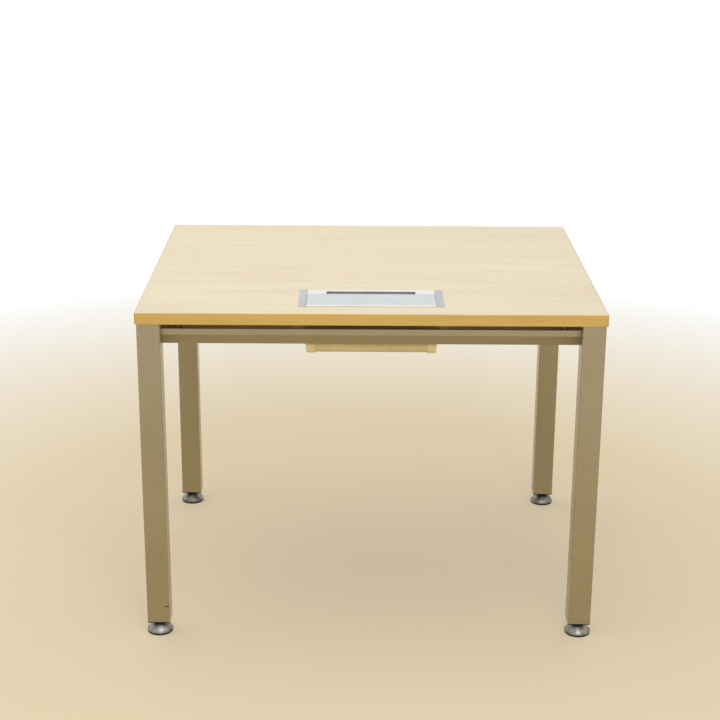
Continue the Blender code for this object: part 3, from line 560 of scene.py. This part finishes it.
for side, (turn, reach) in BEAM_SIDES.items():
    low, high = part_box(f"beam_{side}")
    size = high - low
    long_way = max(size.x, size.y)
    deep_way = min(size.x, size.y)
    bm = folded_channel(long_way / 2, deep_way - reach, size.z, reach)
    bmesh.ops.translate(bm, vec=(0.0, -deep_way / 2, 0.0), verts=bm.verts)
    bmesh.ops.rotate(bm, cent=(0, 0, 0), matrix=Matrix.Rotation(turn, 3, "Z"), verts=bm.verts)
    bmesh.ops.translate(bm, vec=((low.x + high.x) / 2, (low.y + high.y) / 2, high.z), verts=bm.verts)
    settle(f"channel_{side}", bm, frame_paint, "frame", "frame_paint", f"beam_{side}")

# Beam bolts
# M6 socket-head bolts, zinc plated, through each beam's end plates into the nut blocks. The hex
# recess faces the middle of the desk, where a key reaches it.

BOLT_SIDES = 24
BOLT_R = 0.003
BOLT_HEAD_R = 0.005
BOLT_HEAD_H = 0.006
BOLT_EDGE = 0.0006
KEY_FLATS = 0.005
KEY_DEPTH = 0.003
KEY_CUTS = 3
RECESS_DRAFT = 0.9
CROWN_STEP = 0.3
ZINC_BLUE = (196, 199, 204)
ZINC_YELLOW = (202, 196, 176)


def zinc_plate():
    """Zinc plate with a faint yellow and blue bloom."""
    zinc = Finish("zinc_plate", Metallic=1.0)
    bloom = zinc.noise(scale=260.0, detail=3.0)
    return zinc.show(Base_Color=zinc.mix(bloom, ZINC_BLUE, ZINC_YELLOW),
                     Roughness=zinc.spread(bloom, 0.26, 0.42),
                     Normal=zinc.bump(zinc.noise(scale=1800.0), depth=0.00003))


def edges_in(items):
    """The edges among the geometry that an operator made."""
    return [item for item in items if isinstance(item, bmesh.types.BMEdge)]


def drawn_on(bm, loop, factor, rise):
    """Carry a loop of edges on: a new loop, wider or narrower, that rises or falls."""
    made = bmesh.ops.extrude_edge_only(bm, edges=loop)["geom"]
    verts = [item for item in made if isinstance(item, bmesh.types.BMVert)]
    bmesh.ops.scale(bm, vec=(factor, factor, 1.0), verts=verts)
    bmesh.ops.translate(bm, vec=(0, 0, rise), verts=verts)
    ring = set(verts)
    return [edge for edge in edges_in(made) if edge.verts[0] in ring and edge.verts[1] in ring]


def ring_of(bm, corners, cuts=0):
    """A closed loop of edges through some corners, with each side cut into equal runs."""
    verts = [bm.verts.new((x, y, 0.0)) for x, y in corners]
    sides = [bm.edges.new(pair) for pair in zip(verts, verts[1:] + verts[:1])]
    cut = bmesh.ops.subdivide_edges(bm, edges=sides, cuts=cuts)["geom"] if cuts else sides
    return list(set(edges_in(cut)) | {edge for edge in sides if edge.is_valid})


def circle_points(radius, count):
    """Points round a circle."""
    points = []
    for index in range(count):
        angle = 2 * math.pi * index / count
        points.append((radius * math.cos(angle), radius * math.sin(angle)))
    return points


def headed_fastener(recess, cuts, depth, head_r, head_h, crown, shank_r, shank_l):
    """A fastener with its seat at the origin, its head up and its shank down."""
    step = CROWN_STEP * crown
    tip = -head_h - shank_l
    path = [(head_r - step, -step), (head_r, -crown), (head_r, -head_h), (shank_r, -head_h),
            (shank_r, tip + crown), (shank_r - crown, tip)]
    radius = head_r - crown
    height = 0.0
    bm = bmesh.new()
    inner = ring_of(bm, recess, cuts)
    loop = ring_of(bm, circle_points(radius, BOLT_SIDES))
    bmesh.ops.bridge_loops(bm, edges=inner + loop)
    bmesh.ops.edgeloop_fill(bm, edges=drawn_on(bm, inner, RECESS_DRAFT, -depth))
    for next_r, next_z in path:
        loop = drawn_on(bm, loop, next_r / radius, next_z - height)
        radius = next_r
        height = next_z
    bmesh.ops.edgeloop_fill(bm, edges=loop)
    bmesh.ops.translate(bm, vec=(0, 0, head_h), verts=bm.verts)
    return bm


def aimed(bm, seat, direction):
    """Turn a fastener so that its head points along a direction, and put its seat in place."""
    turn = Vector((0, 0, 1)).rotation_difference(Vector(direction)).to_matrix()
    bmesh.ops.rotate(bm, cent=(0, 0, 0), matrix=turn, verts=bm.verts)
    bmesh.ops.translate(bm, vec=seat, verts=bm.verts)
    return bm


key_hex = circle_points(KEY_FLATS / 2 / math.cos(math.pi / HEX_SIDES), HEX_SIDES)
fastener_zinc = zinc_plate()
for corner in CORNERS:
    for axis, letter in enumerate("xy"):
        node = f"beam_bolt_{letter}_{corner}"
        low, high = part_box(node)
        seat = (low + high) / 2
        inward = Vector((0.0, 0.0, 0.0))
        inward[axis] = -math.copysign(1.0, seat[axis])
        seat[axis] = (low if inward[axis] < 0 else high)[axis] - inward[axis] * BOLT_HEAD_H
        bolt = headed_fastener(key_hex, KEY_CUTS, KEY_DEPTH, BOLT_HEAD_R, BOLT_HEAD_H, BOLT_EDGE, BOLT_R,
                               shank_l=high[axis] - low[axis] - BOLT_HEAD_H)
        settle(f"socket_bolt_{letter}_{corner}", aimed(bolt, seat, inward), fastener_zinc, "frame",
               "zinc_fasteners", node)

# Desktop board
# Particle board, 25 mm, faced with a pale maple-grain laminate above and a backing below darkened as
# painted shade.
# The grain runs the long way, and the chips show only where the hatch is cut through.

FACING = 0.0006
MAPLE_PALE = (246, 231, 198)
MAPLE_FIGURE = (239, 221, 184)
MAPLE_STREAK = (222, 201, 160)
MAPLE_PORE = (196, 170, 124)
CHIP_PALE = (176, 138, 92)
CHIP_DARK = (122, 88, 52)
CHIP_DULL = 0.4
BACKING_DARKENED_AS_SHADE = (158, 128, 80)
BACKING_STREAK_DARKENED_AS_SHADE = (142, 112, 66)


def maple_laminate():
    """Pale maple print with fine pores along X, chips on the cut edges and a backing below darkened as
    painted shade.
    """
    low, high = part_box("desktop_board")
    maple = Finish("maple_laminate", Specular_IOR_Level=0.45)
    height = maple.axes()[Z]
    figure = maple.noise(scale=(1.1, 9.0, 9.0), detail=4.0, roughness=0.55, distortion=0.6)
    streaks = maple.noise(scale=(2.2, 70.0, 70.0), detail=3.0, roughness=0.6)
    pores = maple.ramp(maple.noise(scale=(18.0, 620.0, 620.0)), span=(0.60, 0.74), to=(0.0, 0.34))
    colour = maple.mix(maple.spread(figure), MAPLE_PALE, MAPLE_FIGURE)
    colour = maple.mix(maple.ramp(streaks, span=(0.48, 0.76), to=(0.0, 0.42)), colour, MAPLE_STREAK)
    colour = maple.mix(pores, colour, MAPLE_PORE)

    chips = maple.grains(scale=420.0)
    below = maple.math("LESS_THAN", height, low.z + FACING)
    cut = maple.math("SUBTRACT", maple.math("LESS_THAN", height, high.z - FACING), below)
    colour = maple.mix(cut, colour, maple.mix(chips, CHIP_PALE, CHIP_DARK))
    # The backing's browns are darker than a plain backer: painted shade for the shaded gap above the
    # beams.
    colour = maple.mix(below, colour, maple.mix(maple.spread(streaks), BACKING_DARKENED_AS_SHADE, BACKING_STREAK_DARKENED_AS_SHADE))
    relief = maple.math("SUBTRACT", maple.math("MULTIPLY", cut, chips), pores)
    gloss = maple.spread(maple.noise(scale=18.0, detail=4.0), 0.34, 0.44)
    gloss = maple.math("ADD", gloss, maple.math("MULTIPLY", cut, CHIP_DULL))
    return maple.show(Base_Color=colour, Roughness=gloss, Normal=maple.bump(relief, depth=0.00006))


dress("desktop_board", maple_laminate())

# Edge bands
# Strips of honey-coloured plastic, 1 mm thick, glued round the board and trimmed to a small radius.
# Their printed grain runs along each strip.

BAND_ROUND = 0.0008
HONEY_PALE = (242, 206, 118)
HONEY_SHADE = (231, 191, 101)
HONEY_LINE = (172, 128, 62)


def honey_band(name, along):
    """Printed plastic with fine grain lines along a strip."""
    band = Finish(name, Specular_IOR_Level=0.5)
    fine = [900.0, 900.0, 900.0]
    fine[along] = 7.0
    broad = [70.0, 70.0, 160.0]
    broad[along] = 1.5
    lines = band.noise(scale=tuple(fine), detail=3.0, roughness=0.6)
    shade = band.noise(scale=tuple(broad), detail=3.0)
    colour = band.mix(band.spread(shade), HONEY_PALE, HONEY_SHADE)
    colour = band.mix(band.ramp(lines, span=(0.52, 0.74), to=(0.0, 0.5)), colour, HONEY_LINE)
    return band.show(Base_Color=colour, Roughness=band.spread(lines, 0.36, 0.48),
                     Normal=band.bump(lines, depth=0.00005))


for along, across, sides in ((Y, X, ("left", "right")), (X, Y, ("front", "rear"))):
    band_finish = honey_band(f"honey_band_along_{'xy'[along]}", along)
    for side in sides:
        low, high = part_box(f"edge_band_{side}")
        outer = max(abs(low[across]), abs(high[across]))
        bm = bmesh.new()
        block(bm, low, high)
        rim = []
        for edge in bm.edges:
            on_face = all(abs(vert.co[across]) > outer - WELD for vert in edge.verts)
            if on_face and (along == Y or runs_along(edge, along)):
                rim.append(edge)
        soften(bm, rim, BAND_ROUND, segments=6)
        settle(f"band_{side}", bm, band_finish, "frame", "maple_edge", f"edge_band_{side}")

# Spacers and top bolts
# Turned steel rings, zinc plated and darkened grey-brown as painted shade for the gap they sit in, that
# hold the board clear of the long beams, and a flat-headed bolt up through each into an insert in the
# board.

SPACER_BORE = 0.0034
SPACER_EDGE = 0.0006
SPACER_STEPS = 48
TOP_BOLT_HEAD_R = 0.0055
TOP_BOLT_HEAD_H = 0.004
ZINC_GREY_DARKENED_AS_SHADE = (112, 103, 90)
ZINC_BROWN_DARKENED_AS_SHADE = (88, 80, 68)


def zinc_darkened_as_shade():
    """Zinc plate darkened to a mottled grey-brown as painted shade, without much gleam."""
    zinc = Finish("zinc_darkened_as_shade", Metallic=0.6)
    film = zinc.noise(scale=420.0, detail=3.0)
    # Both grey-browns are darker than plain zinc: painted shade for the gap between board and beams.
    return zinc.show(Base_Color=zinc.mix(zinc.spread(film), ZINC_GREY_DARKENED_AS_SHADE, ZINC_BROWN_DARKENED_AS_SHADE),
                     Roughness=zinc.spread(film, 0.5, 0.66), Normal=zinc.bump(film, depth=0.00004))


spacer_zinc = zinc_darkened_as_shade()
for corner in CORNERS:
    low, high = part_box(f"top_spacer_{corner}")
    centre = (low + high) / 2
    outer = (high.x - low.x) / 2
    profile = [(SPACER_BORE, high.z), (outer - SPACER_EDGE, high.z)]
    profile += [(outer, high.z - SPACER_EDGE), (outer, low.z + SPACER_EDGE)]
    profile += [(outer - SPACER_EDGE, low.z), (SPACER_BORE, low.z), (SPACER_BORE, high.z)]
    bm = bmesh.new()
    turned(bm, profile, SPACER_STEPS)
    bmesh.ops.translate(bm, vec=(centre.x, centre.y, 0.0), verts=bm.verts)
    settle(f"spacer_ring_{corner}", bm, spacer_zinc, "frame", "zinc_fasteners", f"top_spacer_{corner}")

    low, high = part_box(f"top_bolt_{corner}")
    bolt = headed_fastener(key_hex, KEY_CUTS, KEY_DEPTH, TOP_BOLT_HEAD_R, TOP_BOLT_HEAD_H, BOLT_EDGE,
                           BOLT_R, shank_l=high.z - low.z - TOP_BOLT_HEAD_H)
    seat = (centre.x, centre.y, low.z + TOP_BOLT_HEAD_H)
    settle(f"board_bolt_{corner}", aimed(bolt, seat, (0, 0, -1)), fastener_zinc, "frame",
           "zinc_fasteners", f"top_bolt_{corner}")

# Hatch end caps
# Grey injection-moulded caps at the two ends of the cable hatch. Each sits in the cut-out with a lip
# over the laminate, and holds the rails' ends and a hinge pin.

CAP_EDGE = 0.00025
CAP_PALE = (200, 202, 205)
CAP_FLOW = (191, 193, 197)


def grey_plastic():
    """Moulded grey plastic with a fine etched grain."""
    plastic = Finish("hatch_cap_grey", Specular_IOR_Level=0.45)
    flow = plastic.noise(scale=(30.0, 8.0, 30.0), detail=3.0)
    etch = plastic.noise(scale=2200.0)
    return plastic.show(Base_Color=plastic.mix(plastic.spread(flow), CAP_PALE, CAP_FLOW),
                        Roughness=plastic.spread(flow, 0.44, 0.54),
                        Normal=plastic.bump(etch, depth=0.00008))


cap_grey = grey_plastic()
for side in ("left", "right"):
    settle(f"hatch_end_{side}", softened(f"hatch_cap_{side}", CAP_EDGE), cap_grey, "frame",
           "hatch_caps", f"hatch_cap_{side}")

# Hatch rails
# Aluminium extrusions, powder coated white, let into the cut-out in front of the lid and behind it.
# The rear one is slotted for cables and has ledges that the closed lid lies on.

RAIL_EDGE = 0.0002
RAIL_PALE = (246, 245, 240)
RAIL_MARKED = (236, 235, 230)


def white_coat():
    """White powder coat with a faint orange peel and grey finger marks."""
    coat = Finish("hatch_rail_white", Specular_IOR_Level=0.5)
    marks = coat.noise(scale=34.0, detail=5.0, roughness=0.6)
    peel = coat.noise(scale=700.0)
    return coat.show(Base_Color=coat.mix(coat.ramp(marks, span=(0.42, 0.72)), RAIL_PALE, RAIL_MARKED),
                     Roughness=coat.spread(marks, 0.36, 0.48), Normal=coat.bump(peel, depth=0.00008))


rail_white = white_coat()
for rail in ("front", "rear"):
    settle(f"rail_{rail}", softened(f"hatch_{rail}_rail", RAIL_EDGE), rail_white, "frame",
           "hatch_rails", f"hatch_{rail}_rail")

# Hinge pins
# Ground steel pins, 4 mm across, pressed into the end caps. The lid's barrel turns on them, and
# nothing holds it but the two pins.

PIN_BRIGHT = (205, 205, 207)
PIN_GREY = (178, 178, 181)


def ground_steel():
    """Bright ground steel with fine marks round the pin."""
    steel = Finish("ground_steel", Metallic=1.0)
    marks = steel.noise(scale=(2400.0, 120.0, 120.0))
    return steel.show(Base_Color=steel.mix(marks, PIN_BRIGHT, PIN_GREY),
                      Roughness=steel.spread(marks, 0.18, 0.30), Normal=steel.bump(marks, depth=0.00003))


pin_steel = ground_steel()
for side in ("left", "right"):
    dress(f"hinge_pin_{side}", pin_steel)

# Hatch lid
# One aluminium extrusion, satin anodised: a plate, a hinge barrel along its front edge and two ribs
# below. Its brushed lines run along the extrusion.

LID_EDGE = 0.00035
LID_PALE = (217, 220, 222)
LID_CLOUD = (209, 212, 214)
LID_BRUSHED = (192, 196, 199)


def anodised_lid():
    """Satin anodised aluminium, brushed along X."""
    lid = Finish("satin_anodised", Metallic=0.25, Specular_IOR_Level=0.5)
    brush = lid.noise(scale=(9.0, 2600.0, 2600.0), detail=3.0, roughness=0.6)
    cloud = lid.noise(scale=16.0, detail=4.0)
    colour = lid.mix(lid.spread(cloud), LID_PALE, LID_CLOUD)
    colour = lid.mix(lid.ramp(brush, span=(0.50, 0.80), to=(0.0, 0.35)), colour, LID_BRUSHED)
    gloss = lid.math("ADD", lid.spread(brush, 0.30, 0.40), lid.spread(cloud, 0.0, 0.06))
    return lid.show(Base_Color=colour, Roughness=gloss, Normal=lid.bump(brush, depth=0.00004))


settle("lid_extrusion", softened("hatch_lid", LID_EDGE), anodised_lid(), "lid", "hatch_lid", "hatch_lid")

# Cable tray
# A trough bent from 1.5 mm steel sheet with wide radii, powder coated ivory, hung under the hatch. Its
# front wall reaches the board, and its rear wall stops short so that cables can come out.

TRAY_EDGE = 0.0004
TRAY_IVORY = (229, 213, 157)
TRAY_DUSTY = (215, 197, 139)


def ivory_coat():
    """Ivory powder coat with patches of dust."""
    coat = Finish("tray_ivory", Specular_IOR_Level=0.45)
    dust = coat.noise(scale=22.0, detail=5.0, roughness=0.6)
    peel = coat.noise(scale=560.0)
    return coat.show(Base_Color=coat.mix(coat.ramp(dust, span=(0.4, 0.75)), TRAY_IVORY, TRAY_DUSTY),
                     Roughness=coat.spread(dust, 0.42, 0.56), Normal=coat.bump(peel, depth=0.0001))


settle("tray_trough", softened("cable_tray", TRAY_EDGE), ivory_coat(), "frame", "tray_paint",
       "cable_tray")

# Tray end caps
# Ivory plastic mouldings that the trough slides into, drafted so that they leave the mould, with a
# flange along the top that is screwed to the board.

TRAY_CAP_EDGE = 0.0006
TRAY_CAP_IVORY = (247, 231, 176)
TRAY_CAP_FLOW = (238, 219, 162)


def ivory_plastic():
    """Moulded ivory plastic with faint flow lines and an etched grain."""
    plastic = Finish("tray_cap_ivory", Specular_IOR_Level=0.45)
    flow = plastic.noise(scale=(60.0, 9.0, 24.0), detail=3.0)
    etch = plastic.noise(scale=1900.0)
    return plastic.show(Base_Color=plastic.mix(plastic.spread(flow), TRAY_CAP_IVORY, TRAY_CAP_FLOW),
                        Roughness=plastic.spread(flow, 0.42, 0.54),
                        Normal=plastic.bump(etch, depth=0.00008))


cap_ivory = ivory_plastic()
for side in ("left", "right"):
    settle(f"tray_end_{side}", softened(f"tray_cap_{side}", TRAY_CAP_EDGE), cap_ivory, "frame",
           "tray_caps", f"tray_cap_{side}")

# Tray screws
# Pan-head wood screws, zinc plated, driven up through the caps' flanges into the board. Each has a
# cross recess.

SCREW_HEAD_R = 0.0042
SCREW_HEAD_H = 0.0025
SCREW_CROWN = 0.0009
SCREW_R = 0.002
CROSS_LONG = 0.0021
CROSS_HALF = 0.0005
CROSS_DEPTH = 0.0014
CROSS_CUTS = 1

cross = []
arm = [(CROSS_LONG, -CROSS_HALF), (CROSS_LONG, CROSS_HALF), (CROSS_HALF, CROSS_HALF)]
for _ in range(4):
    cross += arm
    arm = [(-y, x) for x, y in arm]
for side in ("left", "right"):
    for end in ("front", "rear"):
        node = f"tray_screw_{end}_{side}"
        low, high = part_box(node)
        screw = headed_fastener(cross, CROSS_CUTS, CROSS_DEPTH, SCREW_HEAD_R, SCREW_HEAD_H, SCREW_CROWN,
                                SCREW_R, shank_l=high.z - low.z - SCREW_HEAD_H)
        seat = ((low.x + high.x) / 2, (low.y + high.y) / 2, low.z + SCREW_HEAD_H)
        settle(f"pan_screw_{end}_{side}", aimed(screw, seat, (0, 0, -1)), fastener_zinc, "frame",
               "zinc_fasteners", node)

# Floor, light and camera
# A plain pale floor that fades to white, a wide soft lamp overhead and a weak one in front, and a
# camera where the photograph was taken from.

FLOOR_HALF = 9.0
FLOOR_CREAM = (245, 222, 175)
FLOOR_GLOW = (249, 231, 188)
WHITE = (255, 255, 255)
FADE_START = 1.0
FADE_END = 2.6
FADE_NEAR = 0.36
AMBIENT = 0.36
LAMPS = {
    "overhead": {"place": (-0.35, 0.15, 3.10), "aim": (0.0, 0.0, 0.0), "size": 2.8, "watts": 36.0},
    "front_fill": {"place": (0.50, -3.90, 3.00), "aim": (0.0, 0.0, 0.4), "size": 2.4, "watts": 49.0},
}
CAMERA_PLACE = (-0.0331, -3.6036, 1.7099)
CAMERA_PITCH = math.radians(18.310)
CAMERA_YAW = math.radians(0.167)
CAMERA_ROLL = math.radians(0.343)
FOCAL_PIXELS = 1589.8
PRINCIPAL_DROP = 2.35
PHOTO_PIXELS = 720
SENSOR = 36.0


def seen_rays(nodes):
    """1 for the rays that end in the picture: straight ones, and those off a gloss or through glass."""
    rays = nodes.add("ShaderNodeLightPath").outputs
    seen = nodes.math("MAXIMUM", rays["Is Camera Ray"], rays["Is Glossy Ray"])
    return nodes.math("MAXIMUM", seen, rays["Is Transmission Ray"])


def shaded(nodes, share, first, second):
    """One shader over another by a share."""
    return nodes.add("ShaderNodeMixShader", {0: share, 1: first, 2: second}).outputs["Shader"]


def pale_floor():
    """A matt cream floor that a camera sees fade to white, and sees through from below."""
    floor = Finish("pale_floor", Base_Color=FLOOR_CREAM, Roughness=0.75, Specular_IOR_Level=0.2)
    x, y, _ = floor.axes()
    far = floor.ramp(floor.hypot(x, y), (FADE_START, FADE_END), to=(FADE_NEAR, 1.0))
    glow = floor.add("ShaderNodeEmission", {"Color": floor.mix(far, FLOOR_GLOW, WHITE), "Strength": 1.0})
    faded = shaded(floor, floor.math("MULTIPLY", far, seen_rays(floor)), floor.shader.outputs["BSDF"],
                   glow.outputs["Emission"])
    below = floor.add("ShaderNodeNewGeometry").outputs["Backfacing"]
    clear = floor.add("ShaderNodeBsdfTransparent").outputs["BSDF"]
    floor.feed(floor.tree.nodes["Material Output"].inputs["Surface"], shaded(floor, below, faded, clear))
    return floor.material


bm = bmesh.new()
bmesh.ops.create_grid(bm, x_segments=1, y_segments=1, size=FLOOR_HALF)
floor_mesh = bpy.data.meshes.new("floor")
bm.to_mesh(floor_mesh)
bm.free()
floor_mesh.materials.append(pale_floor())
floor = bpy.data.objects.new("floor", floor_mesh)
bpy.context.scene.collection.objects.link(floor)
floor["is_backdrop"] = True

world = bpy.data.worlds.new("studio")
world.use_nodes = True
bpy.context.scene.world = world
sky = Nodes(world.node_tree)
background = sky.tree.nodes["Background"]
sky.feed(background.inputs["Color"], WHITE)
sky.feed(background.inputs["Strength"], sky.ramp(seen_rays(sky), span=(0.0, 1.0), to=(AMBIENT, 1.0)))

for name, setting in LAMPS.items():
    light = bpy.data.lights.new(name, "AREA")
    light.shape = "SQUARE"
    light.size = setting["size"]
    light.energy = setting["watts"]
    lamp = bpy.data.objects.new(name, light)
    lamp.location = setting["place"]
    aim = Vector(setting["aim"]) - Vector(setting["place"])
    lamp.rotation_euler = aim.to_track_quat("-Z", "Y").to_euler()
    bpy.context.scene.collection.objects.link(lamp)

ahead = Vector((math.sin(CAMERA_YAW) * math.cos(CAMERA_PITCH),
                math.cos(CAMERA_YAW) * math.cos(CAMERA_PITCH), -math.sin(CAMERA_PITCH)))
level = Vector((math.cos(CAMERA_YAW), -math.sin(CAMERA_YAW), 0.0))
right = Matrix.Rotation(-CAMERA_ROLL, 3, ahead) @ level
up = right.cross(ahead)
turn = Matrix((right, up, -ahead)).transposed()
lens = bpy.data.cameras.new("photograph")
lens.sensor_width = SENSOR
lens.lens = SENSOR * FOCAL_PIXELS / PHOTO_PIXELS
lens.shift_y = PRINCIPAL_DROP / PHOTO_PIXELS
camera = bpy.data.objects.new("photograph", lens)
camera.matrix_world = Matrix.Translation(CAMERA_PLACE) @ turn.to_4x4()
bpy.context.scene.collection.objects.link(camera)
bpy.context.scene.camera = camera
bpy.context.scene.view_settings.view_transform = "Standard"

low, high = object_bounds()
